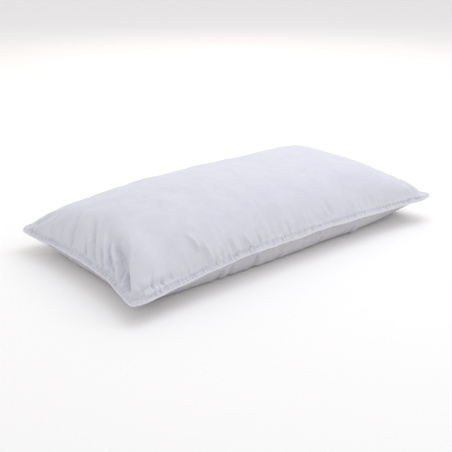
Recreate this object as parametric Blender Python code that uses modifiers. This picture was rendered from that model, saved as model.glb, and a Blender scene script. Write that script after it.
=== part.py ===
"""Bed pillow: two ticking panels with turned-in hems, corded piping, two rows of lockstitch, feather filling.

Metres, +Z up. The pillow lies flat: X along the long side, Y along the short side, z = 0 at the surface
it rests on. The origin is the centre of the base.
"""
import math

import bmesh
import bpy
from mathutils import Vector

# overall shape
STITCH_LENGTH = 0.858          # corner to corner of the inner stitch row, along X
STITCH_WIDTH = 0.464           # corner to corner of the inner stitch row, along Y
HEIGHT = 0.160                 # crown of the top panel above the base
WAIST_X = 0.0205               # how far the middle of each short side is drawn in by the filling
WAIST_Y = 0.0265               # how far the middle of each long side is drawn in
WAIST_X_POWER = 2.0
WAIST_Y_POWER = 2.9
CORNER_R = 0.012               # corner radius of the inner stitch row

# height of the seam above the base
SEAM_Z_CORNER = 0.036
SEAM_Z_LONG_SIDE = 0.052
SEAM_Z_SHORT_SIDE = 0.045

# top panel's crown: (1 - |t|^power)^root from the middle out to the stitch row
CROWN_X_POWER = 3.7
CROWN_X_ROOT = 0.70
CROWN_Y_POWER = 2.7
CROWN_Y_ROOT = 0.80

# bottom panel: a quarter round from the stitch row down to the flat base
BOTTOM_ROLL_X = 0.034
BOTTOM_ROLL_Y = 0.032
ROLL_CELLS = 4

# grid of each panel inside the stitch row
CELLS_X = 26
CELLS_Y = 14

# section through the sewn edge, from the piping's centre inwards
BAND = 0.0085                  # piping centre to the ring where the panels part
TICKING = 0.0003               # ticking thickness
FACE_Z = 0.00223               # outer face of a panel above the seam's middle plane
HEM_Z = 0.00085                # right side of the turned-in hem
FOLD_N = 0.00235               # nearest the fold comes to the piping's centre
FOLD_START = 0.0030
HEM_END = 0.0080
CORD_R = 0.00135
COVER_INNER_R = 0.00205
COVER_OUTER_R = 0.0025
COVER_ARC_CELLS = 6
TAIL_LOW = 0.00015
TAIL_HIGH = 0.00055
TAIL_END = 0.0080
SEAM_ROW_N = 0.0045
SEAM_THREAD_R = 0.00012
SEAM_THREAD_Z = 0.00154
TOPSTITCH_N = 0.0068
TOPSTITCH_R = 0.00015
TOPSTITCH_Z = FACE_Z + 0.0003 + TOPSTITCH_R
FILL_CLEARANCE = 0.0015        # filling's surface behind the ticking's outer face

HALF_X = 0.5 * STITCH_LENGTH
HALF_Y = 0.5 * STITCH_WIDTH


def smooth_sign(value):
    return -1.0 if value < 0 else 1.0


def edge_spacing(g):
    """Even grid coordinate -1..1 to a plan coordinate with its lines gathered towards the edge."""
    return math.sin(0.5 * math.pi * g)


def bottom_spacing(g, cells, half, roll):
    """Plan coordinate and depth fraction of the bottom panel at an even grid coordinate."""
    steps = (1.0 - abs(g)) * cells / 2
    if steps <= ROLL_CELLS:
        angle = 0.5 * math.pi * steps / ROLL_CELLS
        inset = roll * (1.0 - math.cos(angle))
        depth = math.sin(angle)
    else:
        share = (steps - ROLL_CELLS) / (cells / 2 - ROLL_CELLS)
        inset = roll + (half - roll) * share
        depth = 1.0
    return smooth_sign(g) * (1.0 - inset / half), depth


def plan(s, t):
    """Plan position of the normalised point s, t: a rectangle with round corners and drawn-in sides."""
    x = abs(s) * HALF_X
    y = abs(t) * HALF_Y
    cx = x - (HALF_X - CORNER_R)
    cy = y - (HALF_Y - CORNER_R)
    if cx > 0 and cy > 0:
        squeeze = max(cx, cy) / math.hypot(cx, cy)
        x = HALF_X - CORNER_R + cx * squeeze
        y = HALF_Y - CORNER_R + cy * squeeze
    waist_x = WAIST_X * (1.0 - (y / HALF_Y) ** WAIST_X_POWER) / HALF_X
    waist_y = WAIST_Y * (1.0 - (x / HALF_X) ** WAIST_Y_POWER) / HALF_Y
    return smooth_sign(s) * x * (1.0 - waist_x), smooth_sign(t) * y * (1.0 - waist_y)


def seam_z(s, t):
    """Height of the seam's middle plane, carried on smoothly across the middle."""
    long_side = (SEAM_Z_LONG_SIDE - SEAM_Z_CORNER) * (1.0 - s * s) * t * t
    short_side = (SEAM_Z_SHORT_SIDE - SEAM_Z_CORNER) * (1.0 - t * t) * s * s
    return SEAM_Z_CORNER + long_side + short_side


def top_point(gx, gy):
    s = edge_spacing(gx)
    t = edge_spacing(gy)
    x, y = plan(s, t)
    rise_x = max(0.0, 1.0 - abs(s) ** CROWN_X_POWER) ** CROWN_X_ROOT
    rise_y = max(0.0, 1.0 - abs(t) ** CROWN_Y_POWER) ** CROWN_Y_ROOT
    low = seam_z(s, t) + FACE_Z
    return Vector((x, y, low + (HEIGHT - low) * rise_x * rise_y))


def bottom_point(gx, gy):
    s, depth_x = bottom_spacing(gx, CELLS_X, HALF_X, BOTTOM_ROLL_X)
    t, depth_y = bottom_spacing(gy, CELLS_Y, HALF_Y, BOTTOM_ROLL_Y)
    s = edge_spacing(gx) * (1.0 - depth_y) + s * depth_y
    t = edge_spacing(gy) * (1.0 - depth_x) + t * depth_x
    x, y = plan(s, t)
    return Vector((x, y, (seam_z(s, t) - FACE_Z) * (1.0 - depth_x * depth_y)))


def stitch_ring():
    """Stations round the inner stitch row: grid coordinates, plan point and height, anticlockwise."""
    stations = []
    for i in range(CELLS_X):
        stations.append((-1.0 + 2.0 * i / CELLS_X, -1.0))
    for j in range(CELLS_Y):
        stations.append((1.0, -1.0 + 2.0 * j / CELLS_Y))
    for i in range(CELLS_X):
        stations.append((1.0 - 2.0 * i / CELLS_X, 1.0))
    for j in range(CELLS_Y):
        stations.append((-1.0, 1.0 - 2.0 * j / CELLS_Y))
    ring = []
    for gx, gy in stations:
        s = edge_spacing(gx)
        t = edge_spacing(gy)
        x, y = plan(s, t)
        ring.append((gx, gy, Vector((x, y, seam_z(s, t)))))
    return ring


def outward_normals(ring):
    """Level outward direction at each station, square to the mean of its two neighbouring segments."""
    normals = []
    for k in range(len(ring)):
        here = ring[k][2]
        back = (here - ring[k - 1][2]).normalized()
        ahead = (ring[(k + 1) % len(ring)][2] - here).normalized()
        along = back + ahead
        normals.append(Vector((along.y, -along.x, 0.0)).normalized())
    return normals


RING = stitch_ring()
OUTWARD = outward_normals(RING)
STATION = {(round(g[0], 5), round(g[1], 5)): k for k, g in enumerate(RING)}


def band_point(k, inward, z):
    """Point of the sewn edge at station k, inward from the piping's centre and z above the middle plane."""
    p = RING[k][2] + OUTWARD[k] * (BAND - inward)
    p.z += z
    return p


def clear_scene():
    for obj in list(bpy.data.objects):
        bpy.data.objects.remove(obj)


def make_collection(name):
    col = bpy.data.collections.new(name)
    bpy.context.scene.collection.children.link(col)
    return col


def make_material(name, colour, roughness):
    mat = bpy.data.materials.new(name)
    mat.use_nodes = True
    shader = mat.node_tree.nodes["Principled BSDF"]
    shader.inputs["Base Color"].default_value = (*colour, 1.0)
    shader.inputs["Roughness"].default_value = roughness
    shader.inputs["Metallic"].default_value = 0.0
    mat.diffuse_color = (*colour, 1.0)
    return mat


def add_mesh_object(name, bm, mat, collection):
    mesh = bpy.data.meshes.new(name)
    bm.to_mesh(mesh)
    bm.free()
    mesh.materials.append(mat)
    obj = bpy.data.objects.new(name, mesh)
    collection.objects.link(obj)
    return obj


def new_grid():
    bm = bmesh.new()
    bmesh.ops.create_grid(bm, x_segments=CELLS_X, y_segments=CELLS_Y, size=1.0)
    return bm


def make_panel(name, side, mat, collection):
    """A panel: the belly grid, the flat band round it and the hem turned back inside the band."""
    bm = new_grid()
    section = [(FOLD_START, FACE_Z), (FOLD_N, 0.5 * (FACE_Z + HEM_Z)), (FOLD_START, HEM_Z), (HEM_END, HEM_Z)]
    rings = []
    for _ in section:
        boundary = [e for e in bm.edges if e.is_boundary]
        out = bmesh.ops.extrude_edge_only(bm, edges=boundary)
        rings.append([v for v in out["geom"] if isinstance(v, bmesh.types.BMVert)])
    in_ring = set()
    for (inward, z), verts in zip(section, rings):
        for vert in verts:
            k = STATION[(round(vert.co.x, 5), round(vert.co.y, 5))]
            in_ring.add(vert)
            vert.co = band_point(k, inward, side * z)
    belly = top_point if side > 0 else bottom_point
    for vert in bm.verts:
        if vert not in in_ring:
            vert.co = belly(vert.co.x, vert.co.y)
    if side < 0:
        bmesh.ops.reverse_faces(bm, faces=bm.faces[:])
    obj = add_mesh_object(name, bm, mat, collection)
    solid = obj.modifiers.new("ticking", "SOLIDIFY")
    solid.thickness = TICKING
    solid.offset = -1.0
    solid.use_even_offset = True
    return obj


def make_filling(name, mat, collection):
    """The filling: one closed soft body that follows both panels a little way behind them."""
    bm = new_grid()
    out = bmesh.ops.extrude_face_region(bm, geom=bm.faces[:])
    upper = {v for v in out["geom"] if isinstance(v, bmesh.types.BMVert)}
    for vert in bm.verts:
        shape = top_point if vert in upper else bottom_point
        vert.co = shape(vert.co.x, vert.co.y)
    bmesh.ops.recalc_face_normals(bm, faces=bm.faces[:])
    obj = add_mesh_object(name, bm, mat, collection)
    inset = obj.modifiers.new("behind_ticking", "DISPLACE")
    inset.strength = -FILL_CLEARANCE
    inset.mid_level = 0.0
    return obj


def cover_section():
    """Keyhole section of the piping's bias strip: x away from the pillow's middle, y up."""
    outer_gap = math.asin(TAIL_HIGH / COVER_OUTER_R)
    inner_gap = math.asin(TAIL_LOW / COVER_INNER_R)
    points = [(TAIL_END, TAIL_HIGH)]
    for i in range(COVER_ARC_CELLS + 1):
        a = outer_gap + (2.0 * math.pi - 2.0 * outer_gap) * i / COVER_ARC_CELLS
        points.append((COVER_OUTER_R * math.cos(a), COVER_OUTER_R * math.sin(a)))
    points.append((TAIL_END, -TAIL_HIGH))
    points.append((TAIL_END, -TAIL_LOW))
    for i in range(COVER_ARC_CELLS + 1):
        a = 2.0 * math.pi - inner_gap - (2.0 * math.pi - 2.0 * inner_gap) * i / COVER_ARC_CELLS
        points.append((COVER_INNER_R * math.cos(a), COVER_INNER_R * math.sin(a)))
    points.append((TAIL_END, TAIL_LOW))
    return [(-x, y) for x, y in points]


def make_poly_curve(name, points, dimensions):
    curve = bpy.data.curves.new(name, "CURVE")
    curve.dimensions = dimensions
    curve.resolution_u = 1
    curve.render_resolution_u = 0
    spline = curve.splines.new("POLY")
    spline.points.add(len(points) - 1)
    for slot, p in zip(spline.points, points):
        slot.co = (p[0], p[1], p[2] if len(p) > 2 else 0.0, 1.0)
    spline.use_cyclic_u = True
    return curve


def make_ring(name, inward, z, mat, collection, radius=0.0, section=None, sides=4):
    """A closed ring that runs round the sewn edge: a round strand, or a strip of the given section."""
    points = [band_point(k, inward, z) for k in range(len(RING))]
    curve = make_poly_curve(name, points, "3D")
    curve.twist_mode = "Z_UP"
    if section is None:
        curve.bevel_depth = radius
        curve.bevel_resolution = (sides - 4) // 2
    else:
        curve.bevel_mode = "OBJECT"
        curve.bevel_object = section
    curve.materials.append(mat)
    obj = bpy.data.objects.new(name, curve)
    collection.objects.link(obj)
    return obj


def build():
    clear_scene()
    pillow = make_collection("bed_pillow")
    sections = make_collection("sections")

    ticking = make_material("cotton_ticking", (0.80, 0.80, 0.84), 0.85)
    bias = make_material("bias_strip", (0.82, 0.82, 0.85), 0.8)
    cord = make_material("piping_cord_cotton", (0.78, 0.75, 0.68), 0.9)
    thread = make_material("white_thread", (0.86, 0.86, 0.88), 0.6)
    feathers = make_material("feather_and_down", (0.74, 0.72, 0.68), 0.95)

    make_panel("top_panel", 1, ticking, pillow)
    make_panel("bottom_panel", -1, ticking, pillow)
    make_filling("feather_filling", feathers, pillow)

    outline = make_poly_curve("cover_section", cover_section(), "2D")
    section = bpy.data.objects.new("cover_section", outline)
    section.hide_render = True
    sections.objects.link(section)
    make_ring("piping_cover", 0.0, 0.0, bias, pillow, section=section)
    make_ring("piping_cord", 0.0, 0.0, cord, pillow, radius=CORD_R, sides=6)

    rows = [
        ("seam_needle_thread", SEAM_ROW_N, SEAM_THREAD_Z, SEAM_THREAD_R),
        ("seam_bobbin_thread", SEAM_ROW_N, -SEAM_THREAD_Z, SEAM_THREAD_R),
        ("topstitch_needle_thread", TOPSTITCH_N, TOPSTITCH_Z, TOPSTITCH_R),
        ("topstitch_bobbin_thread", TOPSTITCH_N, -TOPSTITCH_Z, TOPSTITCH_R),
    ]
    for name, inward, z, radius in rows:
        make_ring(name, inward, z, thread, pillow, radius=radius)


build()
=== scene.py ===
"""Looks of the bed pillow: ticking filled and slumped by a cloth solver, piping, stitching, filling."""
import math

import bpy
import numpy as np
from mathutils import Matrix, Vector


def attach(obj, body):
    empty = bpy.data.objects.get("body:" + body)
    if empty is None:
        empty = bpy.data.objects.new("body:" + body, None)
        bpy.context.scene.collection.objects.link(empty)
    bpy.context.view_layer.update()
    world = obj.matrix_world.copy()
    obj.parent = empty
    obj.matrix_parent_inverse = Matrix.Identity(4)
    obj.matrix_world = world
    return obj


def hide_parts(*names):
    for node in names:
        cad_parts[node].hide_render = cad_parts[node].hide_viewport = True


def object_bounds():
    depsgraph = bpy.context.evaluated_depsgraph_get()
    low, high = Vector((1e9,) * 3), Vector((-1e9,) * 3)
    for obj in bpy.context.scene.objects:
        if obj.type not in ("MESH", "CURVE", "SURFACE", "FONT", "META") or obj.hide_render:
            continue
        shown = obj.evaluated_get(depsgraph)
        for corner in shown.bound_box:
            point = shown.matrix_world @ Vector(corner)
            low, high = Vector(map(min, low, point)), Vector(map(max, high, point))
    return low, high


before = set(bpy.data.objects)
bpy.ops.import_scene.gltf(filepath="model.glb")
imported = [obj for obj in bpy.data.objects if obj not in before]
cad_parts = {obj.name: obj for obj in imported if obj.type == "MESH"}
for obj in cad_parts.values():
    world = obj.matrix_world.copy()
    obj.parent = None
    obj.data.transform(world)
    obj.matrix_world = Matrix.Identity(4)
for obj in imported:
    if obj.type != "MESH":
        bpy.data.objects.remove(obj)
CAD_LOW, CAD_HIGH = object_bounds()
CAD_SIZE = CAD_HIGH - CAD_LOW

# ---------------------------------------------------------------- sizes, metres
CUT_LENGTH = 0.900            # flat size of each ticking panel at the seam line
CUT_WIDTH = 0.500
CORNER_RADIUS = 0.017
BAND = 0.0068                 # piping centre to the second stitch row
FIRST_ROW = 0.0045            # piping centre to the first stitch row, inside the turned edge
BAND_HALF = 0.0018            # half the thickness of the stitched band
PIPING_RADIUS = 0.0022
CORD_RADIUS = 0.0016
HIDDEN_THREAD_RADIUS = 0.00018
HIDDEN_THREAD_LIFT = 0.0004   # from the middle of the band to each of the first row's threads
STITCH_RADIUS = 0.00026
STITCH_PITCH = 0.0031
STITCH_GAP = 0.0006
TARGET_VOLUME = 0.041         # what the filling takes up, cubic metres
WEAVE_PITCH = 0.00045

SIDES = (1, -1)               # the way out of the top panel, and of the bottom panel
CORNERS = {"F": (1, 1), "R": (-1, 1), "L": (1, -1), "B": (-1, -1)}


# ---------------------------------------------------------------- smooth steps, bells and noise
def smooth(t):
    """0 up to t = 0 and 1 from t = 1 on, with a soft step between."""
    t = np.clip(t, 0.0, 1.0)
    return t * t * (3.0 - 2.0 * t)


def bell(t, centre, width):
    return np.exp(-((t - centre) / width) ** 2)


def noise2(shape, cells, seed):
    """Smooth value noise over a grid, about -1..1."""
    lattice = np.random.default_rng(seed).uniform(-1, 1, (cells[0] + 3, cells[1] + 3))
    u = np.linspace(0, cells[0], shape[0])
    v = np.linspace(0, cells[1], shape[1])
    iu = np.minimum(u.astype(int), cells[0] - 1)
    iv = np.minimum(v.astype(int), cells[1] - 1)
    fu = smooth(u - iu)[:, None]
    fv = smooth(v - iv)[None, :]
    near = lattice[np.ix_(iu, iv)] * (1 - fu) + lattice[np.ix_(iu + 1, iv)] * fu
    far = lattice[np.ix_(iu, iv + 1)] * (1 - fu) + lattice[np.ix_(iu + 1, iv + 1)] * fu
    return near * (1 - fv) + far * fv


def noise1(t, seed):
    """Smooth value noise along a line, about -1..1; t is in lattice steps."""
    size = 4096
    lattice = np.random.default_rng(seed).uniform(-1, 1, size)
    i = np.floor(t).astype(int)
    f = smooth(t - i)
    here = i + size // 2
    return lattice[here % size] * (1 - f) + lattice[(here + 1) % size] * f


def noise_at(u, v, seed):
    """Smooth value noise at any points of a plane, about -1..1; u and v are in lattice steps."""
    size = 128
    lattice = np.random.default_rng(seed).uniform(-1, 1, (size, size))
    i = np.floor(u).astype(int)
    j = np.floor(v).astype(int)
    fu = smooth(u - i)
    fv = smooth(v - j)
    i0, i1, j0, j1 = i % size, (i + 1) % size, j % size, (j + 1) % size
    near = lattice[i0, j0] * (1 - fu) + lattice[i1, j0] * fu
    far = lattice[i0, j1] * (1 - fu) + lattice[i1, j1] * fu
    return near * (1 - fv) + far * fv


# ---------------------------------------------------------------- grids over the cut
def cells_of(sheet):
    return sheet.shape[0] - 1, sheet.shape[1] - 1


def cut_coordinates(n):
    """Each grid point's place on a plain rectangle of the cut's size."""
    x = np.linspace(-CUT_LENGTH / 2, CUT_LENGTH / 2, n[0] + 1)[:, None] + np.zeros((1, n[1] + 1))
    y = np.linspace(-CUT_WIDTH / 2, CUT_WIDTH / 2, n[1] + 1)[None, :] + np.zeros((n[0] + 1, 1))
    return x, y


def flat_grid(n):
    """The flat cut on a grid: a rectangle whose corner squares are drawn in to quarter rounds."""
    half_l, half_w = CUT_LENGTH / 2, CUT_WIDTH / 2
    x, y = cut_coordinates(n)
    px = CORNER_RADIUS - (half_l - abs(x))
    py = CORNER_RADIUS - (half_w - abs(y))
    inside = (px > 0) & (py > 0)
    scale = np.where(inside, np.maximum(px, py) / (np.hypot(px, py) + 1e-12), 1.0)
    flat_x = np.sign(x) * (half_l - CORNER_RADIUS + px * scale)
    flat_y = np.sign(y) * (half_w - CORNER_RADIUS + py * scale)
    return np.stack([flat_x, flat_y], -1)


def edge_distance(n):
    """How far each grid point is from the nearer short side, and from the nearer long side."""
    i = np.arange(n[0] + 1)
    j = np.arange(n[1] + 1)
    dx = np.minimum(i, n[0] - i)[:, None] * (CUT_LENGTH / n[0]) + np.zeros((1, n[1] + 1))
    dy = np.minimum(j, n[1] - j)[None, :] * (CUT_WIDTH / n[1]) + np.zeros((n[0] + 1, 1))
    return dx, dy


def refine(a):
    """Twice as many cells along both grid directions, with cubic midpoints."""
    for axis in (1, 2):
        a = np.moveaxis(a, axis, 0)
        pad = np.concatenate([a[:1], a, a[-1:]])
        mid = (-pad[:-3] + 9 * pad[1:-2] + 9 * pad[2:-1] - pad[3:]) / 16
        mid[0] = 0.5 * (a[0] + a[1])
        mid[-1] = 0.5 * (a[-2] + a[-1])
        out = np.empty((2 * len(a) - 1,) + a.shape[1:])
        out[0::2] = a
        out[1::2] = mid
        a = np.moveaxis(out, 0, axis)
    return a


def normalise(v):
    return v / np.maximum(np.linalg.norm(v, axis=-1, keepdims=True), 1e-12)


def unit_normals(sheet, side):
    return side * normalise(np.cross(np.gradient(sheet, axis=0), np.gradient(sheet, axis=1)))


# ---------------------------------------------------------------- cloth solver
class Ticking:
    """Two sheets sewn along their band, blown up by the filling and dropped on the floor."""
    STRETCH = 1.0             # how much of a stretched link's error one pass takes away
    SQUEEZE = 0.6             # the same for a link that is too short
    SHEAR = 0.5               # the same two for the links across the cells
    SHEAR_SQUEEZE = 0.25
    GATHER_STITCH = 0.05      # share of its length that the cloth loses at the second stitch row
    GATHER_EDGE = 0.02        # the same at the piping
    START_HEIGHT = 0.06       # of the seam, before the pillow falls on the floor
    START_PUFF = 0.03
    FLOOR_SLIP = 0.3          # share of its slide that cloth on the floor keeps
    LEAST_GAP = 0.0005        # between the sheets inside the seam

    def __init__(self, n, sheets=None):
        self.flat = flat_grid(n)
        dx, dy = edge_distance(n)
        self.edge = np.minimum(dx, dy)
        self.weld = (self.edge <= BAND + 1e-6) | (dx + dy < 2 * CORNER_RADIUS)
        self.x = self.puffed(n) if sheets is None else sheets.copy()
        self.before = self.x.copy()
        self.cell = CUT_LENGTH * CUT_WIDTH / (n[0] * n[1])
        self.links = []
        self.link_cells(n)

    def puffed(self, n):
        u = np.linspace(-1, 1, n[0] + 1)[:, None]
        v = np.linspace(-1, 1, n[1] + 1)[None, :]
        puff = self.START_PUFF * (1 - u ** 4) * (1 - v ** 4)
        sheets = np.zeros((2, n[0] + 1, n[1] + 1, 3))
        sheets[..., :2] = self.flat
        sheets[0, ..., 2] = self.START_HEIGHT + puff
        sheets[1, ..., 2] = self.START_HEIGHT - puff
        return sheets

    def link_cells(self, n):
        """Links along and across the cells, odd and even ones apart, so that no group shares a point."""
        nx, ny = n
        every = slice(None)
        for odd in (0, 1):
            cx = len(range(odd, nx, 2))
            cy = len(range(odd, ny, 2))
            low_x, high_x = slice(odd, odd + 2 * cx, 2), slice(odd + 1, odd + 1 + 2 * cx, 2)
            low_y, high_y = slice(odd, odd + 2 * cy, 2), slice(odd + 1, odd + 1 + 2 * cy, 2)
            self.link((low_x, every), (high_x, every), self.STRETCH, self.SQUEEZE)
            self.link((every, low_y), (every, high_y), self.STRETCH, self.SQUEEZE)
            self.link((low_x, slice(0, ny)), (high_x, slice(1, ny + 1)), self.SHEAR, self.SHEAR_SQUEEZE)
            self.link((low_x, slice(1, ny + 1)), (high_x, slice(0, ny)), self.SHEAR, self.SHEAR_SQUEEZE)

    def link(self, a, b, pull, push):
        rest = np.linalg.norm(self.flat[b] - self.flat[a], axis=-1)
        edge = 0.5 * (self.edge[a] + self.edge[b])
        along_seam = (np.abs(self.edge[a] - self.edge[b]) < 1e-9) & (edge <= BAND + 1e-6)
        share = np.clip(edge / BAND, 0, 1)
        gather = self.GATHER_EDGE * (1 - share) + self.GATHER_STITCH * share
        rest = np.where(along_seam, rest * (1 - gather), rest)
        both = (slice(None),)
        self.links.append((both + a, both + b, rest[None], pull, push))

    def hold_lengths(self):
        for a, b, rest, pull, push in self.links:
            pa, pb = self.x[a], self.x[b]
            gap = pb - pa
            length = np.sqrt((gap * gap).sum(-1))
            share = (length - rest) / np.maximum(length, 1e-9)
            gap *= (share * np.where(share > 0, 0.5 * pull, 0.5 * push))[..., None]
            pa += gap
            pb -= gap

    def resist_bending(self, amount):
        for axis in (1, 2):
            line = np.moveaxis(self.x, axis, 0)
            kink = (line[1:-1] - 0.5 * (line[:-2] + line[2:])) * (0.5 * amount)
            move = np.zeros_like(line)
            move[1:-1] -= kink * (2 / 3)
            move[:-2] += kink / 3
            move[2:] += kink / 3
            line += move

    def area_vectors(self):
        area = np.cross(np.gradient(self.x, axis=1), np.gradient(self.x, axis=2))
        area[1] *= -1
        return area

    def collide(self):
        """Keeps the band sewn, the cloth above the floor, and the top sheet above the bottom one."""
        x, before = self.x, self.before
        mean = 0.5 * (x[0][self.weld] + x[1][self.weld])
        x[0][self.weld] = mean
        x[1][self.weld] = mean
        low = x[..., 2] < 0
        if low.any():
            x[..., 2][low] = 0
            slide = x[..., :2][low] - before[..., :2][low]
            x[..., :2][low] = before[..., :2][low] + self.FLOOR_SLIP * slide
        crossed = (x[0, ..., 2] - x[1, ..., 2] < self.LEAST_GAP) & ~self.weld
        if crossed.any():
            middle = 0.5 * (x[0, ..., 2] + x[1, ..., 2])[crossed]
            x[0, ..., 2][crossed] = middle + 0.5 * self.LEAST_GAP
            x[1, ..., 2][crossed] = middle - 0.5 * self.LEAST_GAP

    def settle(self, passes, bending):
        """Evens out folds at the lengths the cloth now has, so that they take the shape of bent cloth."""
        self.links = [(a, b, np.linalg.norm(self.x[b] - self.x[a], axis=-1), 1.0, 1.0)
                      for a, b, rest, pull, push in self.links]
        for _ in range(passes):
            self.before = self.x.copy()
            self.resist_bending(bending)
            self.hold_lengths()
            self.collide()

    def step(self, lumps, gravity, stiffness, bending, damping, passes):
        """One step in time: the filling pushes outward while the pillow holds less than it should."""
        area = self.area_vectors()
        volume = (self.x * area).sum() / 3
        pressure = max(0.0, stiffness * (TARGET_VOLUME - volume) / TARGET_VOLUME)
        push = (pressure * (1 + lumps))[None, ..., None] * area / self.cell
        push[..., 2] -= gravity
        speed = (self.x - self.before) * damping
        self.before = self.x.copy()
        self.x += speed + push
        for _ in range(passes):
            self.hold_lengths()
            self.resist_bending(bending)
            self.collide()


COARSE = (50, 28)             # cells of the first solver grid; doubled at each level
COARSE_CELL = 0.018
GRAVITY = 2e-5                # metres a step, on the coarse grid
STIFFNESS = 2e-3              # push of the filling on the coarse grid, for each share of the volume missing
DAMPING = (0.9, 0.8)          # share of the speed kept in the first part of a level, and in its last part
FIRST_PART = 0.7
# for each level: time steps, roughness that starts the wrinkles, resistance to bending, passes in a step
LEVELS = (
    (260, 0.0008, 0.02, 2),
    (160, 0.0006, 0.05, 3),
    (110, 0.0003, 0.15, 3),
)


def fill_ticking(levels):
    """Fills the flat ticking on a coarse grid first, and goes on from there on finer ones."""
    sheets = None
    for level, (steps, roughness, bending, passes) in enumerate(levels):
        n = (COARSE[0] * 2 ** level, COARSE[1] * 2 ** level)
        if sheets is not None:
            sheets = refine(sheets)
        cloth = Ticking(n, sheets)
        cloth.x[..., 2] += roughness * np.random.default_rng(3 + level).standard_normal(cloth.x.shape[:3])
        cloth.before = cloth.x.copy()
        grid = cloth.x.shape[1:3]
        lumps = 0.25 * noise2(grid, (14, 8), 54) + 0.125 * noise2(grid, (30, 17), 55)
        fineness = CUT_LENGTH / n[0] / COARSE_CELL
        for k in range(steps):
            damping = DAMPING[0] if k < steps * FIRST_PART else DAMPING[1]
            cloth.step(lumps, GRAVITY * fineness, STIFFNESS * fineness, bending, damping, passes)
        sheets = cloth.x
    return sheets


# ---------------------------------------------------------------- how the filled pillow lies
SEAM_INSIDE = (0.0028, 0.0050)   # the seam's distance inside the CAD model's ends and long sides
CROWN_BELOW = 0.0022             # the crown's distance below the CAD model's top
FULLER_SIDES = 0.0059            # how much higher the sides lie halfway up
ARCH = 0.0096                    # share by which the middle is higher than the ends
LOW_PART = 0.05                  # height up to which the underside is drawn in
LEFT_INSET, RIGHT_INSET = 0.0137, -0.0050
SIDE_INSET, CORNER_INSET, FAR_INSET = 0.0111, 0.0331, 0.011
UNDER_SWELL = 0.022
SKEW = 0.0085                    # how far the back has slid to the right, for each metre across
EAR_TIP = (0.437, 0.237)         # where the corners lie in x and y
EAR_ROOT = (0.435, 0.240)
EAR_FLATNESS = 0.85
# corner, how far in it is flat, how much it lies higher, how much its tip curls up, its turn in x and in y
EARS = (
    ("F", 0.052, -0.0055, 0.0030, -0.0042, 0.0011),
    ("L", 0.040, 0.0035, 0.0050, 0.0023, -0.0014),
    ("R", 0.052, 0.0069, 0.0100, 0.0012, 0.0004),
    ("B", 0.052, 0.0, 0.0040, 0.0, 0.0),
)


def fit_height(out, u):
    top = out[..., 2].max()
    part = np.clip(out[..., 2] / top, 0, 1)
    out[..., 2] = (out[..., 2] + FULLER_SIDES * np.sin(np.pi * part)) * (CAD_SIZE.z - CROWN_BELOW) / top
    out[..., 2] *= 1 - ARCH * (u * u - 0.3)


def draw_in_below(out, u, v):
    """Below the seam the sides go in, most towards the ends and under the far half of the front.
    The left end goes in too, and the right end goes out a little."""
    low = 1 - smooth(out[..., 2] / LOW_PART)
    ends = np.where(out[..., 0] < 0, LEFT_INSET, RIGHT_INSET)
    out[..., 0] -= ends * np.sign(out[..., 0]) * low * smooth((u - 0.5) / 0.5)
    front_right = (out[..., 1] < 0) * smooth(out[..., 0] / (0.18 * CAD_SIZE.x))
    inset = SIDE_INSET + CORNER_INSET * u * u + FAR_INSET * front_right
    out[..., 1] -= inset * np.sign(out[..., 1]) * low * smooth((v - 0.4) / 0.6)


def swell_below_front(out, v):
    """The underside is fuller below the far part of the front edge."""
    under = out[1]
    part = np.clip(under[..., 2] / LOW_PART, 0, 1)
    far_end = smooth(under[..., 0] / 0.25)
    edge = np.minimum(*edge_distance(cells_of(under)))
    front = (under[..., 1] < 0) * smooth((v[1] - 0.55) / 0.35) * smooth((edge - 0.015) / 0.045)
    under[..., 1] -= UNDER_SWELL * far_end * 4 * part * (1 - part) * front


def set_ears(out, before):
    """Presses the four corners flat, then raises, curls and turns each of them."""
    middle = 0.5 * (out[0] + out[1])
    tips = []
    for corner, *rest in EARS:
        sx, sy = CORNERS[corner]
        tips.append(np.hypot(middle[..., 0] + sx * EAR_TIP[0], middle[..., 1] + sy * EAR_TIP[1]))
    for tip, (corner, reach, *rest) in zip(tips, EARS):
        out += (middle - out) * (EAR_FLATNESS * smooth((reach - tip) / 0.036))[None, ..., None]
    for tip, (corner, reach, rise, curl, dx, dy) in zip(tips, EARS):
        sx, sy = CORNERS[corner]
        root = np.hypot(before[..., 0] + sx * EAR_ROOT[0], before[..., 1] + sy * EAR_ROOT[1])
        near = smooth(1 - root / 0.16)
        out[..., 0] += dx * near
        out[..., 1] += dy * near
        out[..., 2] += rise * near ** 1.3 + curl * smooth(1 - tip / 0.055)


def shift_filling(out, v):
    """Hollows and swellings left by the way the filling settled."""
    x, y, z = out[..., 0], out[..., 1], out[..., 2]
    left = smooth((-x / (0.5 * CAD_SIZE.x) - 0.55) / 0.45)
    front = smooth((-y / (0.5 * CAD_SIZE.y) - 0.55) / 0.45)
    crown = smooth(z / 0.08 - 0.6)
    change = -0.0075 * left * (1 - v ** 4) - 0.0050 * front * bell(x, -0.300, 0.065)
    change = change * smooth(z / 0.05)
    change += crown * (0.0045 * bell(x, -0.375, 0.05) - 0.0035 * bell(x, 0.090, 0.16))
    z += change


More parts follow.
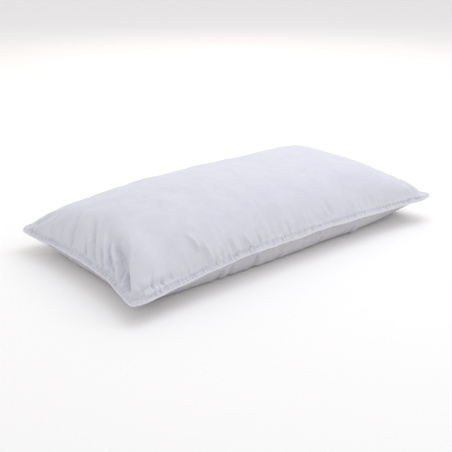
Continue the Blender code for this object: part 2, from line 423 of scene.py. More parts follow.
def slump(sheets):
    """How the filled pillow came to rest: as tall as the CAD model, drawn in below, with flat ears."""
    out = sheets.copy()
    out[..., 0] *= (0.5 * CAD_SIZE.x - SEAM_INSIDE[0]) / np.abs(out[..., 0]).max()
    out[..., 1] *= (0.5 * CAD_SIZE.y - SEAM_INSIDE[1]) / np.abs(out[..., 1]).max()
    u = np.clip(np.abs(out[..., 0]) / (0.5 * CAD_SIZE.x), 0, 1)
    v = np.clip(np.abs(out[..., 1]) / (0.5 * CAD_SIZE.y), 0, 1)
    fit_height(out, u)
    draw_in_below(out, u, v)
    swell_below_front(out, v)
    set_ears(out, sheets)
    out[..., 0] += SKEW * sheets[..., 1]
    shift_filling(out, v)
    out[..., 2] = np.maximum(out[..., 2], 0)
    return out


# ---------------------------------------------------------------- folds and gathers
class SeamFlow:
    """Coordinates that follow one edge of the cut: along it and in from it, bending round at its corners."""

    def __init__(self, along, inward, half):
        a = half - np.abs(along)
        bend = 1 - smooth((a - 0.10) / 0.15)
        flow = np.sqrt(np.maximum(a * a - (bend * inward) ** 2, 0))
        self.s = np.sign(along) * (half - flow)
        self.d = inward
        self.weight = smooth((a - inward) / (0.35 * a + 0.008))


def edge_flows(x, y):
    """The four edges: front, back, left and right."""
    half_l, half_w = CUT_LENGTH / 2, CUT_WIDTH / 2
    return (SeamFlow(x, y + half_w, half_l), SeamFlow(x, half_w - y, half_l),
            SeamFlow(y, x + half_l, half_w), SeamFlow(y, half_l - x, half_w))


def evenness(x, edge_number, start, run, loss):
    """1, but less towards the far end of the front edge, where the cloth beside the seam is smoother."""
    return 1 - loss * smooth((x - start) / run) if edge_number == 0 else 1.0


def pucker_row(flow, pitch, height, reach, seed):
    """Puffed folds that start at the piping: rounded backs, sharp valleys, and each with its own length."""
    count = 4096
    wander = 0.8 * noise1(flow.s / (2.3 * pitch), seed)
    lean = 0.25 * noise1(flow.d / (2.0 * pitch), seed + 7)
    t = flow.s / pitch + wander + lean
    number = np.floor(t).astype(int) + count // 2
    dice = np.random.default_rng(seed + 1)
    own_reach = reach * (0.4 + 1.3 * dice.random(count))[number]
    own_power = (0.25 + 1.0 * dice.random(count))[number]
    patch = np.clip(0.65 + 0.9 * noise1(flow.s / (5 * pitch), seed + 2), 0.15, 1.4)
    inward = np.maximum(flow.d - BAND, 0)
    rise = smooth((flow.d - 0.001) / (0.35 * pitch))
    in_band = 0.50 + 0.50 * smooth((flow.d - BAND + 0.004) / 0.010)
    stitched = 1 - 0.15 * bell(flow.d, BAND, 0.0022)
    fade = np.exp(-inward / own_reach)
    back = np.sqrt(np.sin(np.pi * t) ** 2 + 0.02) - 0.14
    return height * own_power * patch * rise * in_band * stitched * fade * back * flow.weight


def fold(x, y, corner, a, b, heading, length, width, depth, curl=0.0, lean=0.0):
    """One fold on the flat cut. a and b are its start, in from a corner along the long and short sides;
    heading is in degrees from the long side. Positive depth is a valley between soft ridges, and negative
    depth is a ridge; lean steepens the side away from the corner's long edge."""
    sx, sy = CORNERS[corner]
    px = CUT_LENGTH / 2 + sx * x - a
    py = CUT_WIDTH / 2 + sy * y - b
    cos, sin = math.cos(math.radians(heading)), math.sin(math.radians(heading))
    run = (px * cos + py * sin) / length
    across = -px * sin + py * cos - curl * length * np.clip(run, 0, 1) ** 2
    t = across / (width * (0.55 + 0.7 * np.clip(run, 0, 1)))
    t = t * (1 + lean * np.tanh(t))
    if depth > 0:
        shape = -np.exp(-1.5 * t * t) + 0.35 * bell(np.abs(t), 1.6, 0.8)
    else:
        shape = -np.exp(-1.3 * np.sqrt(t * t + 0.02))
    ends = smooth((run + 0.06) / 0.28) * (1 - smooth((run - 0.45) / 0.55))
    return depth * shape * ends


def scattered_folds(x, y, corners, count, seed):
    """Folds along the sides that meet at the named corners, spread unevenly by chance."""
    dice = np.random.default_rng(seed)
    total = np.zeros_like(x)
    for corner in corners:
        for k in range(count):
            long_side = k % 2 == 0
            reach = 0.04 + 0.40 * dice.random() if long_side else 0.03 + 0.20 * dice.random()
            a, b = (reach, 0.018) if long_side else (0.018, reach)
            near = math.exp(-reach / 0.12)
            heading = (90 if long_side else 0) + dice.uniform(-25, 25) + near * (-25 if long_side else 35)
            length = dice.uniform(0.05, 0.12)
            width = dice.uniform(0.007, 0.012)
            depth = dice.uniform(0.0018, 0.0042)
            curl = dice.uniform(-0.15, 0.15)
            lean = dice.uniform(-0.3, 0.3)
            total += fold(x, y, corner, a, b, heading, length, width, depth, curl, lean)
    return total


def crumple(u, v, seed):
    """A broken web of crease lines: 0 on the smooth cloth between them, down to -1 in the crease."""
    warp = 0.45 * noise_at(0.6 * u, 0.6 * v, seed + 3)
    web = np.abs(noise_at(u + warp, v - warp, seed))
    line = np.clip(1 - 1.7 * web, 0, 1) ** 1.5
    return -line * np.clip(0.35 + 0.9 * noise_at(0.45 * u + 9, 0.8 * v + 5, seed + 5), 0, 1)


# corner, a, b, heading, length, width, depth, curl, lean
TOP_FOLDS = (
    ("F", 0.008, 0.014, 57, 0.200, 0.015, -0.0120, 0.05, 0.4),
    ("F", 0.012, 0.044, 62, 0.150, 0.024, 0.0125, 0.05, 0.0),
    ("F", 0.012, 0.050, 62, 0.130, 0.009, 0.0085, 0.05, 0.2),
    ("F", 0.040, 0.082, 64, 0.050, 0.006, 0.0065, -0.20, 0.0),
    ("F", 0.010, 0.068, 50, 0.050, 0.007, 0.0090, 0.00, 0.0),
    ("F", 0.010, 0.092, 44, 0.040, 0.006, 0.0080, 0.00, 0.0),
    ("F", 0.012, 0.086, 56, 0.145, 0.008, 0.0110, 0.08, 0.3),
    ("F", 0.012, 0.108, 60, 0.070, 0.006, 0.0070, 0.00, 0.0),
    ("F", 0.012, 0.130, 54, 0.120, 0.007, 0.0095, -0.05, 0.3),
    ("F", 0.012, 0.160, 48, 0.070, 0.006, 0.0068, 0.10, 0.0),
    ("F", 0.012, 0.196, 46, 0.125, 0.008, 0.0085, 0.05, -0.3),
    ("F", 0.012, 0.238, 34, 0.060, 0.007, 0.0052, 0.00, 0.0),
    ("F", 0.012, 0.300, 26, 0.090, 0.008, 0.0050, -0.05, 0.0),
    ("F", 0.012, 0.345, 12, 0.050, 0.008, 0.0028, 0.00, 0.0),
    ("F", 0.012, 0.390, 5, 0.070, 0.009, 0.0030, 0.00, 0.0),
    ("L", 0.020, 0.040, 48, 0.080, 0.010, 0.0034, 0.05, 0.0),
    ("L", 0.060, 0.018, 62, 0.060, 0.009, 0.0022, 0.00, 0.0),
    ("F", 0.085, 0.012, 58, 0.120, 0.024, 0.0050, 0.00, 0.0),
    ("F", 0.010, 0.030, -7, 0.150, 0.009, 0.0032, 0.00, 0.0),
    ("F", 0.016, 0.024, 70, 0.024, 0.006, 0.0014, 0.00, 0.0),
    ("F", 0.036, 0.022, 98, 0.026, 0.006, 0.0018, 0.00, 0.3),
    ("F", 0.058, 0.016, 84, 0.024, 0.005, 0.0026, 0.00, 0.0),
    ("F", 0.083, 0.014, 100, 0.022, 0.005, 0.0026, 0.00, 0.3),
    ("F", 0.106, 0.012, 92, 0.020, 0.005, 0.0022, 0.00, 0.0),
    ("F", 0.192, 0.044, 106, 0.052, 0.011, -0.0085, -0.15, 0.7),
    ("F", 0.214, 0.014, 107, 0.052, 0.011, -0.0090, -0.15, 0.7),
    ("F", 0.240, 0.010, 92, 0.030, 0.007, 0.0030, 0.00, 0.0),
    ("F", 0.277, 0.012, 99, 0.042, 0.009, -0.0064, -0.10, 0.6),
    ("F", 0.315, 0.014, 114, 0.036, 0.009, -0.0054, -0.10, 0.6),
    ("F", 0.345, 0.012, 96, 0.032, 0.008, 0.0022, 0.10, 0.0),
    ("F", 0.430, 0.012, 92, 0.036, 0.009, 0.0018, 0.00, 0.0),
    ("F", 0.700, 0.014, 86, 0.040, 0.010, 0.0014, 0.00, 0.0),
    ("R", 0.016, 0.030, 58, 0.110, 0.008, 0.0034, 0.05, 0.0),
    ("R", 0.016, 0.060, 40, 0.070, 0.007, 0.0024, 0.00, 0.0),
    ("R", 0.050, 0.014, 66, 0.060, 0.008, 0.0024, 0.00, 0.0),
)
BOTTOM_FOLDS = (
    ("F", 0.235, 0.010, 82, 0.060, 0.008, 0.0040, 0.00, 0.3),
    ("F", 0.262, 0.010, 76, 0.060, 0.008, 0.0036, 0.00, 0.0),
    ("F", 0.330, 0.010, 78, 0.065, 0.008, 0.0050, 0.00, 0.3),
    ("F", 0.405, 0.010, 80, 0.060, 0.008, 0.0034, 0.00, 0.0),
    ("F", 0.655, 0.020, 92, 0.060, 0.018, -0.0060, 0.00, 0.0),
    ("F", 0.010, 0.130, 20, 0.060, 0.009, 0.0035, 0.00, 0.0),
    ("F", 0.010, 0.300, 0, 0.060, 0.009, 0.0035, 0.00, 0.0),
)
# strength, corners, count and seed of the folds spread by chance
SCATTERED = (
    (0.7, ("B",), 10, 501),
    (0.4, ("L",), 4, 521),
    (0.4, ("R",), 2, 541),
)
FOLD_POWER = (1.0, 0.4)       # of the top panel and of the bottom panel
# height, reach in from the seam, spacing along it, spacing across it, seed
SEAM_CREASES = (
    (0.0026, 0.12, 0.026, 0.085, 31),
    (0.0016, 0.07, 0.013, 0.040, 33),
)
FRONT_REACH = 0.55            # how far in the creases go at the front edge, as a share of the other edges'
LONG_GATHERS = (0.036, 0.0011, 0.036)    # pitch, height, reach
# height, cells over the panel, seed
SWELLS = (
    (0.0022, (9, 5), 71),
    (0.0010, (21, 12), 73),
    (0.0004, (47, 26), 75),
)


def seam_folds(x, flows, power, seed):
    """Long gathers, creases and swells that come in from each edge of a panel."""
    total = np.zeros_like(x)
    for e, flow in enumerate(flows):
        own = seed + 40 * e
        inward = np.maximum(flow.d - BAND, 0)
        calm = evenness(x, e, -0.15, 0.35, 0.7)
        local = power * flow.weight * smooth(inward / 0.02) * calm
        total += power * calm * pucker_row(flow, *LONG_GATHERS, own + 20)
        run = inward / (FRONT_REACH if e == 0 else 1.0)
        for height, reach, spacing, depth, number in SEAM_CREASES:
            web = crumple(flow.s / spacing, run / depth, own + number)
            total += height * local * bell(run, 0, reach) * web
        total += 0.0026 * local * np.exp(-run / 0.09) * noise_at(flow.s / 0.045, run / 0.12, own + 30)
    return total


def placed_folds(x, y, panel, power):
    """The folds of the two tables, and those spread by chance."""
    total = np.zeros_like(x)
    for one in (TOP_FOLDS, BOTTOM_FOLDS)[panel]:
        total += fold(x, y, *one)
    for strength, corners, count, seed in SCATTERED:
        total += strength * power * scattered_folds(x, y, corners, count, seed + panel)
    if panel == 1:
        total += scattered_folds(x, y, ("L", "R"), 5, 561)
    return total


def panel_swells(x, y, edge, panel):
    """Lumps of the filling that show through, and a faint web of creases between them."""
    total = np.zeros_like(x)
    for height, cells, seed in SWELLS:
        total += height * noise2(x.shape, cells, seed + panel)
    total += 0.0009 * crumple(x / 0.05, y / 0.07, 77 + panel)
    return total * smooth((edge - 0.02) / 0.10)


def wave_band(out, flows):
    """The stitched band waves a little, both panels together."""
    for e, flow in enumerate(flows):
        seed = 900 + 10 * e
        wave = 0.0016 * noise1(flow.s / 0.055, seed) + 0.0007 * noise1(flow.s / 0.019, seed + 1)
        out[..., 2] += wave * flow.weight * np.exp(-flow.d / 0.03)
    out[1, ..., 2] = np.maximum(out[1, ..., 2], 0.0)


def add_folds(sheets):
    """Adds the folds and lumps that the solver's cells are too coarse for, then settles them."""
    n = cells_of(sheets[0])
    x, y = cut_coordinates(n)
    flows = edge_flows(x, y)
    edge = np.minimum(*edge_distance(n))
    room = smooth((sheets[0, ..., 2] - sheets[1, ..., 2]) / 0.02 + 0.1)
    out = sheets.copy()
    for panel, (side, power) in enumerate(zip(SIDES, FOLD_POWER)):
        height = seam_folds(x, flows, power, 100 + 400 * panel)
        height += placed_folds(x, y, panel, power) * smooth((edge - 0.008) / 0.010)
        height += panel_swells(x, y, edge, panel)
        out[panel] += (height * room)[..., None] * unit_normals(sheets[panel], side)
    wave_band(out, flows)
    cloth = Ticking(n, out)
    cloth.settle(3, 0.16)
    return cloth.x


def seam_up(sheets):
    """The way up across the seam, halfway between the two panels."""
    return normalise(unit_normals(sheets[0], 1) - unit_normals(sheets[1], -1))


def seam_direction(sheets, edge, side):
    """Away from the other panel beside the seam, turning over to the cloth's own normal further in."""
    own = unit_normals(sheets[0] if side > 0 else sheets[1], side)
    turn_over = smooth((edge - 0.006) / 0.045)[..., None]
    return normalise(side * seam_up(sheets) * (1 - turn_over) + own * turn_over)


def move_panels(sheets, heights):
    """Each panel goes out by its height, beside the seam and further in, but not below the floor."""
    edge = np.minimum(*edge_distance(cells_of(sheets[0])))
    moves = [height[..., None] * seam_direction(sheets, edge, side) for height, side in zip(heights, SIDES)]
    out = sheets + np.stack(moves)
    out[1, ..., 2] = np.maximum(out[1, ..., 2], 0.0)
    return out


GATHER_POWER = (1.0, 0.6)     # of the top panel and of the bottom panel
# pitch, height, reach and seed of the short gathers
GATHERS = (
    (0.0105, 0.0034, 0.014, 0),
    (0.0200, 0.0036, 0.026, 10),
)


def add_puckers(sheets):
    """The short gathers that the two stitch rows pull up."""
    x, y = cut_coordinates(cells_of(sheets[0]))
    flows = edge_flows(x, y)
    heights = []
    for panel, power in enumerate(GATHER_POWER):
        total = np.zeros_like(x)
        for e, flow in enumerate(flows):
            calm = evenness(x, e, -0.08, 0.33, 0.72)
            for pitch, height, reach, seed in GATHERS:
                total += calm * pucker_row(flow, pitch, height, reach, 2100 + 40 * e + 400 * panel + seed)
        heights.append(power * total)
    return move_panels(sheets, heights)


def thicken_band(sheets):
    """Parts the panels by the thickness of the band, and gives each its own round start further in."""
    dx, dy = edge_distance(cells_of(sheets[0]))
    edge = np.minimum(dx, dy)
    close = BAND_HALF * smooth(edge / 0.0022 + 0.2) * (1 - smooth((edge - BAND) / 0.015))
    top_roll = 0.0036 * bell(edge, 0.0080, 0.0070) * smooth((np.hypot(dx, dy) - 0.020) / 0.060)
    low_roll = 0.0020 * bell(edge, BAND, 0.0060)
    return move_panels(sheets, (close + (0.0004 + top_roll), close + low_roll))


FINE_COLUMNS = 401            # at least so many grid points along each panel


def shape_ticking():
    """The two panels of the filled pillow, as grids of points."""
    sheets = fill_ticking(LEVELS)
    while sheets.shape[1] < FINE_COLUMNS:
        sheets = refine(sheets)
    for axis in (0, 1):
        sheets[..., axis] -= 0.5 * (sheets[..., axis].max() + sheets[..., axis].min())
    return add_puckers(add_folds(slump(sheets)))


# ---------------------------------------------------------------- materials
def set_inputs(node, values):
    for socket, value in values.items():
        node.inputs[socket].default_value = value
    return node


def new_material(name, values):
    """A material with these values on its shader's own sockets."""
    mat = bpy.data.materials.new(name)
    mat.use_nodes = True
    return mat, mat.node_tree, set_inputs(mat.node_tree.nodes["Principled BSDF"], values)


def add_noise(tree, vector, values):
    noise = set_inputs(tree.nodes.new("ShaderNodeTexNoise"), values)
    tree.links.new(vector, noise.inputs["Vector"])
    return noise


def add_bump(tree, height, strength, distance, below=None):
    """A bump that lies on top of the one below it."""
    bump = set_inputs(tree.nodes.new("ShaderNodeBump"), {"Strength": strength, "Distance": distance})
    tree.links.new(height, bump.inputs["Height"])
    if below:
        tree.links.new(below.outputs["Normal"], bump.inputs["Normal"])
    return bump


def add_colours(tree, shader, share, low, high, span=(0.0, 1.0)):
    """Base colour from low to high as the share crosses the span."""
    ramp = tree.nodes.new("ShaderNodeValToRGB")
    for stop, position, colour in zip(ramp.color_ramp.elements, span, (low, high)):
        stop.position = position
        stop.color = (*colour, 1)
    tree.links.new(share, ramp.inputs["Fac"])
    tree.links.new(ramp.outputs["Color"], shader.inputs["Base Color"])


def uv_map(tree, name):
    uv = tree.nodes.new("ShaderNodeUVMap")
    uv.uv_map = name
    return uv.outputs["UV"]


def gather_bumps(tree):
    """Fine gathers across each seam, strongest beside the piping and gone a few centimetres in."""
    cut = uv_map(tree, "cut")
    apart = tree.nodes.new("ShaderNodeSeparateXYZ")
    tree.links.new(uv_map(tree, "seam"), apart.inputs["Vector"])
    length, pitch = 0.050, 0.0065
    bump = None
    for distance, scale in (("Y", (1 / pitch, 1 / length, 1)), ("X", (1 / length, 1 / pitch, 1))):
        place = set_inputs(tree.nodes.new("ShaderNodeMapping"), {"Scale": scale})
        tree.links.new(cut, place.inputs["Vector"])
        folds = add_noise(tree, place.outputs["Vector"], {"Scale": 1.0, "Detail": 1.5, "Distortion": 0.5})
        near = set_inputs(tree.nodes.new("ShaderNodeMapRange"), {"From Min": 0.030, "From Max": 0.002})
        near.interpolation_type = "SMOOTHSTEP"
        tree.links.new(apart.outputs[distance], near.inputs["Value"])
        bump = add_bump(tree, folds.outputs["Fac"], 1.0, 0.0065, bump)
        tree.links.new(near.outputs["Result"], bump.inputs["Strength"])
    return bump


def crumple_bumps(tree, place, below):
    """Soft creases, and a fine crinkle on them."""
    creases = add_noise(tree, place, {"Scale": 7.0, "Detail": 3.0, "Roughness": 0.45, "Distortion": 0.6})
    creases.noise_type = "RIDGED_MULTIFRACTAL"
    crisp = add_bump(tree, creases.outputs["Fac"], 0.5, 0.0016, below)
    crinkle = add_noise(tree, place, {"Scale": 85.0, "Detail": 4.0, "Roughness": 0.55})
    return add_bump(tree, crinkle.outputs["Fac"], 0.6, 0.0009, crisp)


def weave_bump(tree, below):
    """Plain weave: two rows of bands across each other."""
    cut = uv_map(tree, "cut")
    weave = tree.nodes.new("ShaderNodeMath")
    weave.operation = "MULTIPLY"
    for k, direction in enumerate(("X", "Y")):
        wave = tree.nodes.new("ShaderNodeTexWave")
        wave.wave_type = "BANDS"
        wave.bands_direction = direction
        set_inputs(wave, {"Scale": 0.314159 / WEAVE_PITCH, "Distortion": 0.6, "Detail": 1.0})
        tree.links.new(cut, wave.inputs["Vector"])
        tree.links.new(wave.outputs["Fac"], weave.inputs[k])
    return add_bump(tree, weave.outputs[0], 0.25, 0.00006, below)


def cotton(name, low, high, crumpled=True):
    """Woven cotton, faintly blotched between two tones."""
    mat, tree, shader = new_material(name, {
        "Roughness": 0.72, "Specular IOR Level": 0.35,
        "Sheen Weight": 0.25, "Sheen Roughness": 0.45, "Sheen Tint": (0.9, 0.93, 1.0, 1.0)})
    place = tree.nodes.new("ShaderNodeTexCoord").outputs["Object"]
    blotch = add_noise(tree, place, {"Scale": 22.0, "Detail": 5.0, "Roughness": 0.62})
    add_colours(tree, shader, blotch.outputs["Fac"], low, high, (0.30, 0.70))
    below = crumple_bumps(tree, place, gather_bumps(tree)) if crumpled else None
    tree.links.new(weave_bump(tree, below).outputs["Normal"], shader.inputs["Normal"])
    return mat


def spun(name, colour):
    """Twisted fibres, with painted shade: the colour is darker between the turns."""
    mat, tree, shader = new_material(name, {"Roughness": 0.5, "Sheen Weight": 0.2})
    place = tree.nodes.new("ShaderNodeTexCoord").outputs["Object"]
    twist = set_inputs(tree.nodes.new("ShaderNodeTexWave"), {"Scale": 900.0, "Distortion": 1.0})
    twist.bands_direction = "DIAGONAL"
    tree.links.new(place, twist.inputs["Vector"])
    # painted shade: the base colour goes down to 0.88 of its own in the grooves between the turns
    add_colours(tree, shader, twist.outputs["Fac"], [c * 0.88 for c in colour], colour)
    bump = add_bump(tree, twist.outputs["Fac"], 0.4, 0.0001)
    tree.links.new(bump.outputs["Normal"], shader.inputs["Normal"])
    return mat


# ---------------------------------------------------------------- meshes
def mesh_object(name, points, faces, uvs=None):
    mesh = bpy.data.meshes.new(name)
    faces = np.asarray(faces)
    mesh.vertices.add(len(points))
    mesh.vertices.foreach_set("co", np.asarray(points, np.float32).ravel())
    count, corners = faces.shape
    mesh.loops.add(count * corners)
    mesh.loops.foreach_set("vertex_index", faces.ravel().astype(np.int32))
    mesh.polygons.add(count)
    mesh.polygons.foreach_set("loop_start", np.arange(0, count * corners, corners, dtype=np.int32))
    mesh.update(calc_edges=True)
    for uv_name, uv in (uvs or {}).items():
        layer = mesh.uv_layers.new(name=uv_name)
        layer.data.foreach_set("uv", np.asarray(uv, np.float32)[faces.ravel()].ravel())
    mesh.shade_smooth()
    mesh.validate()
    obj = bpy.data.objects.new(name, mesh)
    bpy.context.scene.collection.objects.link(obj)
    return obj


def take_place(obj, node, material):
    """The piece belongs to the pillow's one body, and is seen in place of a CAD node."""
    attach(obj, "root")
    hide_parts(node)
    obj.data.materials.append(material)


def grid_faces(n, flip=False, first=0):
    index = np.arange((n[0] + 1) * (n[1] + 1)).reshape(n[0] + 1, n[1] + 1) + first
    quads = np.stack([index[:-1, :-1], index[1:, :-1], index[1:, 1:], index[:-1, 1:]], -1).reshape(-1, 4)
    return quads[:, ::-1] if flip else quads


def rim_index(n):
    """Grid indices round the edge, anticlockwise."""
    nx, ny = n
    low = [(i, 0) for i in range(nx)]
    right = [(nx, j) for j in range(ny)]
    high = [(i, ny) for i in range(nx, 0, -1)]
    left = [(0, j) for j in range(ny, 0, -1)]
    return np.array(low + right + high + left)


def ring_line(field, inward):
    """Values of a grid field round the ring that is this far in from the edge, closed by its first one."""
    nx, ny = cells_of(field)
    kx = inward / (CUT_LENGTH / nx)
    ky = inward / (CUT_WIDTH / ny)
    steps = 4
    along_x = np.linspace(kx, nx - kx, nx * steps, endpoint=False)
    along_y = np.linspace(ky, ny - ky, ny * steps, endpoint=False)
    back_x = np.linspace(nx - kx, kx, nx * steps, endpoint=False)
    back_y = np.linspace(ny - ky, ky, ny * steps, endpoint=False)
    u = np.concatenate([along_x, 0 * along_y + nx - kx, back_x, 0 * back_y + kx])
    v = np.concatenate([0 * along_x + ky, along_y, 0 * back_x + ny - ky, back_y])
    i = np.clip(np.floor(u).astype(int), 0, nx - 1)
    j = np.clip(np.floor(v).astype(int), 0, ny - 1)
    fu = (u - i)[:, None]
    fv = (v - j)[:, None]
    near = field[i, j] * (1 - fu) + field[i + 1, j] * fu
    far = field[i, j + 1] * (1 - fu) + field[i + 1, j + 1] * fu
    return close_ring(near * (1 - fv) + far * fv)


def close_ring(line):
    return np.concatenate([line, line[:1]])


def arc_lengths(line):
    return np.concatenate([[0], np.cumsum(np.linalg.norm(np.diff(line, axis=0), axis=1))])


def values_along(at, arc, values):
    return np.stack([np.interp(at, arc, values[:, c]) for c in range(values.shape[1])], -1)


def even_ring(line, step):
    """Even stations round a closed line: their points, how far round they are, and the line's length."""
    arc = arc_lengths(line)
    at = np.linspace(0, arc[-1], int(round(arc[-1] / step)), endpoint=False)
    return values_along(at, arc, line), at, arc[-1]


def tube_faces(stations, sides, closed=True):
    a = np.arange(stations if closed else stations - 1)[:, None]
    b = (a + 1) % stations
    s = np.arange(sides)
    t = (s + 1) % sides
    return np.stack([a * sides + s, a * sides + t, b * sides + t, b * sides + s], -1).reshape(-1, 4)


def ring_tube(name, line, radius, angle, uvs=None):
    """A tube round a closed line of even stations; radius is given at every station and angle."""
    ahead = normalise(np.roll(line, -1, 0) - np.roll(line, 1, 0))
    outward = normalise(np.cross(ahead, np.array([0.0, 0.0, 1.0])))
    up = normalise(np.cross(outward, ahead))
    ring = np.cos(angle)[None, :, None] * outward[:, None] + np.sin(angle)[None, :, None] * up[:, None]
    points = (line[:, None] + radius[..., None] * ring).reshape(-1, 3)
    return mesh_object(name, points, tube_faces(len(line), len(angle))[:, ::-1], uvs)


def angles(count):
    return np.linspace(0, 2 * np.pi, count, endpoint=False)


def turns(arc, length, lay):
    """How far a twisted thing has turned at each station, with whole turns in the ring."""
    return 2 * np.pi * np.round(length / lay) * arc / length


# ---------------------------------------------------------------- pieces
def make_panel(name, node, sheet, flip, material):
    """One ticking panel, with its flat cut and its distances from the seams as UV maps."""
    n = cells_of(sheet)
    uvs = {"cut": flat_grid(n).reshape(-1, 2), "seam": np.stack(edge_distance(n), -1).reshape(-1, 2)}
    obj = mesh_object(name, sheet.reshape(-1, 3), grid_faces(n, flip), uvs)
    take_place(obj, node, material)


def make_piping(rim, material):
    """The bias strip round the cord: faint diagonal wraps, and a little uneven in thickness."""
    line, arc, length = even_ring(rim, 0.0018)
    angle = angles(18)
    wrap = 0.00010 * np.cos(6 * (angle[None, :] - turns(arc, length, 0.034)[:, None]))
    swell = 0.00012 * noise1(arc / 0.009, 31)[:, None]
    uv = np.stack([np.repeat(arc, len(angle)), np.tile(angle * PIPING_RADIUS, len(arc))], -1)
    obj = ring_tube("piping_bias_strip", line, PIPING_RADIUS + wrap + swell, angle, {"cut": uv})
    take_place(obj, "piping_cover", material)


def make_strand(name, node, line, radius, sides, lobes, lay, material):
    """A closed strand with plies twisted once in each lay."""
    even, arc, length = even_ring(line, 0.0022)
    angle = angles(sides)
    plies = np.abs(np.cos(0.5 * lobes * (angle[None] - turns(arc, length, lay)[:, None])))
    obj = ring_tube(name, even, radius * (1 + (0.16 * plies - 0.16)), angle)
    take_place(obj, node, material)


def make_cord(rim, material):
    make_strand("twisted_piping_cord", "piping_cord", rim, CORD_RADIUS,
                sides=12, lobes=3, lay=0.012, material=material)


def make_hidden_threads(sheets, up, material):
    """The two threads of the first row, between the panels."""
    middle = ring_line(0.5 * (sheets[0] + sheets[1]), FIRST_ROW)
    lift = HIDDEN_THREAD_LIFT * ring_line(up, FIRST_ROW)
    rows = (("seam_thread_upper", "seam_needle_thread", middle + lift),
            ("seam_thread_lower", "seam_bobbin_thread", middle - lift))
    for name, node, line in rows:
        make_strand(name, node, line, HIDDEN_THREAD_RADIUS,
                    sides=5, lobes=2, lay=0.002, material=material)


# along one stitch: share of its length, height above the cloth, share of the thread's radius
STITCH = (
    (0.0, -0.0004, 0.7),
    (0.12, 0.00012, 1.0),
    (0.35, 0.00030, 1.0),
    (0.65, 0.00030, 1.0),
    (0.88, 0.00012, 1.0),
    (1.0, -0.0004, 0.7),
)


def make_stitches(name, node, sheet, up, material):
    """A row of lockstitch: each stitch a short bow of thread that dips into the cloth at both ends."""
    line = ring_line(sheet, BAND)
    ups = ring_line(up, BAND)
    arc = arc_lengths(line)
    count = int(round(arc[-1] / STITCH_PITCH))
    pitch = arc[-1] / count
    share, height, thick = np.array(STITCH).T
    stations, sides = len(STITCH), 6
    at = (pitch * np.arange(count)[:, None] + 0.5 * STITCH_GAP + share[None] * (pitch - STITCH_GAP)).ravel()
    above = normalise(values_along(at, arc, ups)).reshape(count, stations, 3)
    points = values_along(at, arc, line).reshape(count, stations, 3) + height[None, :, None] * above
    ahead = normalise(np.gradient(points, axis=1))
    across = normalise(np.cross(ahead, above))
    above = np.cross(across, ahead)
    angle = angles(sides)[None, None, :, None]
    ring = np.cos(angle) * across[:, :, None] + np.sin(angle) * above[:, :, None]
    points = points[:, :, None] + (thick * STITCH_RADIUS)[None, :, None, None] * ring
    first = np.arange(count) * stations * sides
    faces = tube_faces(stations, sides, closed=False)[None] + first[:, None, None]
    obj = mesh_object(name, points.reshape(-1, 3), faces.reshape(-1, 4))
    take_place(obj, node, material)


FILLING_STEP = 4              # grid cells of the ticking in one cell of the filling
FILLING_EDGE = 5              # cells of the filling that are left out beside the seam
FILLING_INSET = 0.0045        # behind the ticking
LEAST_FILLING = 0.001         # half its least thickness


def make_filling(sheets, material):
    """The feathers and down: a lumpy body a little behind the ticking, with a wall round its edge."""
    core = sheets[:, ::FILLING_STEP, ::FILLING_STEP].copy()
    grid = core.shape[1:3]
    for panel, side in enumerate(SIDES):
        clump = 0.0015 * noise2(grid, (50, 28), 81 + panel) + 0.001 * noise2(grid, (90, 50), 83 + panel)
        inset = FILLING_INSET + np.maximum(clump, -0.0015)
        core[panel] -= inset[..., None] * unit_normals(core[panel], side)
    core = core[:, FILLING_EDGE:-FILLING_EDGE, FILLING_EDGE:-FILLING_EDGE]
    middle = 0.5 * (core[0, ..., 2] + core[1, ..., 2])
    core[0, ..., 2] = np.maximum(core[0, ..., 2], middle + LEAST_FILLING)
    core[1, ..., 2] = np.minimum(core[1, ..., 2], middle - LEAST_FILLING)
    n = cells_of(core[0])
    size = (n[0] + 1) * (n[1] + 1)
    rim = rim_index(n)
    here = rim[:, 0] * (n[1] + 1) + rim[:, 1]
    ahead = np.roll(here, -1)
    wall = np.stack([here, here + size, ahead + size, ahead], -1)[:, ::-1]
    faces = np.concatenate([grid_faces(n), grid_faces(n, flip=True, first=size), wall])
    obj = mesh_object("feather_and_down", core.reshape(-1, 3), faces)
    take_place(obj, "feather_filling", material)


def make_pillow():
    ticking = cotton("downproof_cotton", (0.655, 0.655, 0.712), (0.70, 0.70, 0.758))
    # the underside's colours are darker and greyer than the top's: painted shade for the shadowed underside
    # of the same cloth
    under = cotton("downproof_cotton_underside_painted_shade", (0.545, 0.532, 0.560), (0.585, 0.572, 0.600))
    bias = cotton("bias_cut_cotton", (0.69, 0.69, 0.74), (0.73, 0.73, 0.77), crumpled=False)
    thread = spun("spun_thread", (0.86, 0.86, 0.89))
    cord = spun("soft_cord", (0.78, 0.75, 0.68))
    down = spun("feather_and_down_fluff", (0.74, 0.72, 0.68))

    pressed = shape_ticking()
    up = seam_up(pressed)
    rim = rim_index(cells_of(up))
    rim_line = close_ring(0.5 * (pressed[0] + pressed[1])[rim[:, 0], rim[:, 1]])
    sheets = thicken_band(pressed)
    make_panel("top_ticking", "top_panel", sheets[0], False, ticking)
    make_panel("bottom_ticking", "bottom_panel", sheets[1], True, under)
    make_piping(rim_line, bias)
    make_cord(rim_line, cord)
    make_hidden_threads(sheets, up, thread)
    make_stitches("topstitch_upper", "topstitch_needle_thread", sheets[0], up, thread)
    make_stitches("topstitch_lower", "topstitch_bobbin_thread", sheets[1], -up, thread)
    make_filling(sheets, down)


# ---------------------------------------------------------------- floor, light, camera
FLOOR_RADIUS = 6.0
FLOOR_GAP = 0.0004
AZIMUTH = math.radians(-40.0)
ELEVATION = math.radians(21.6)
DISTANCE = 2.0
AIM_RIGHT, AIM_HEIGHT = -0.0210, 0.0150  # where the camera points: to its right of the middle, and up
LENS, SENSOR = 67.9, 36                  # millimetres
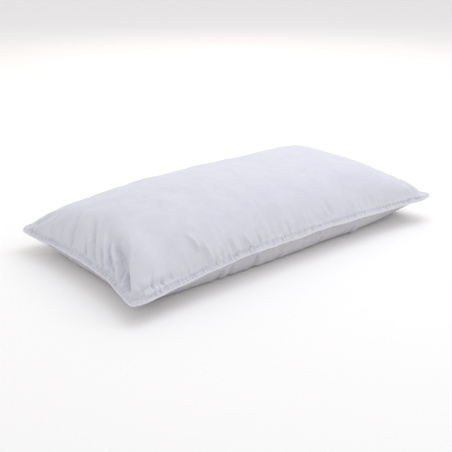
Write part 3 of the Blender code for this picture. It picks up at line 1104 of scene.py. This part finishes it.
# name, place, size, power, colour
LIGHTS = (
    ("key", (0.75, 0.55, 2.3), (2.0, 1.6), 13, (0.80, 0.90, 1.0)),
    ("right", (1.6, -0.2, 1.9), (1.6, 1.2), 9.5, (0.94, 0.94, 1.0)),
    ("back", (1.4, 1.9, 1.5), (1.6, 1.2), 8.5, (1.0, 0.84, 0.68)),
)
LIGHT_AIM = Vector((0, 0, 0.05))


def make_floor():
    place = (0, 0, -FLOOR_GAP)
    bpy.ops.mesh.primitive_circle_add(vertices=96, radius=FLOOR_RADIUS, fill_type="NGON", location=place)
    floor = bpy.context.object
    floor.name = "studio_floor"
    look = {"Base Color": (0.97, 0.955, 0.935, 1), "Roughness": 0.9}
    floor.data.materials.append(new_material("pale_floor", look)[0])


def make_sky():
    world = bpy.data.worlds.new("studio")
    world.use_nodes = True
    set_inputs(world.node_tree.nodes["Background"], {"Color": (0.985, 0.98, 1.0, 1), "Strength": 0.81})
    bpy.context.scene.world = world


def make_light(name, place, size, power, colour):
    data = bpy.data.lights.new(name, "AREA")
    data.shape = "RECTANGLE"
    data.size, data.size_y = size
    data.energy = power
    data.color = colour
    obj = bpy.data.objects.new(name, data)
    obj.location = place
    obj.rotation_euler = (LIGHT_AIM - Vector(place)).to_track_quat("-Z", "Y").to_euler()
    bpy.context.scene.collection.objects.link(obj)


def make_camera():
    cos, sin = math.cos(AZIMUTH), math.sin(AZIMUTH)
    back = Vector((sin * math.cos(ELEVATION), -cos * math.cos(ELEVATION), math.sin(ELEVATION)))
    aim = Vector((AIM_RIGHT * cos, AIM_RIGHT * sin, AIM_HEIGHT))
    data = bpy.data.cameras.new("camera")
    data.lens = LENS
    data.sensor_width = SENSOR
    camera = bpy.data.objects.new("camera", data)
    camera.location = aim + back * DISTANCE
    camera.rotation_euler = (-back).to_track_quat("-Z", "Y").to_euler()
    bpy.context.scene.collection.objects.link(camera)
    bpy.context.scene.camera = camera


make_pillow()
make_floor()
make_sky()
for light in LIGHTS:
    make_light(*light)
make_camera()
bpy.context.scene.view_settings.view_transform = "Standard"
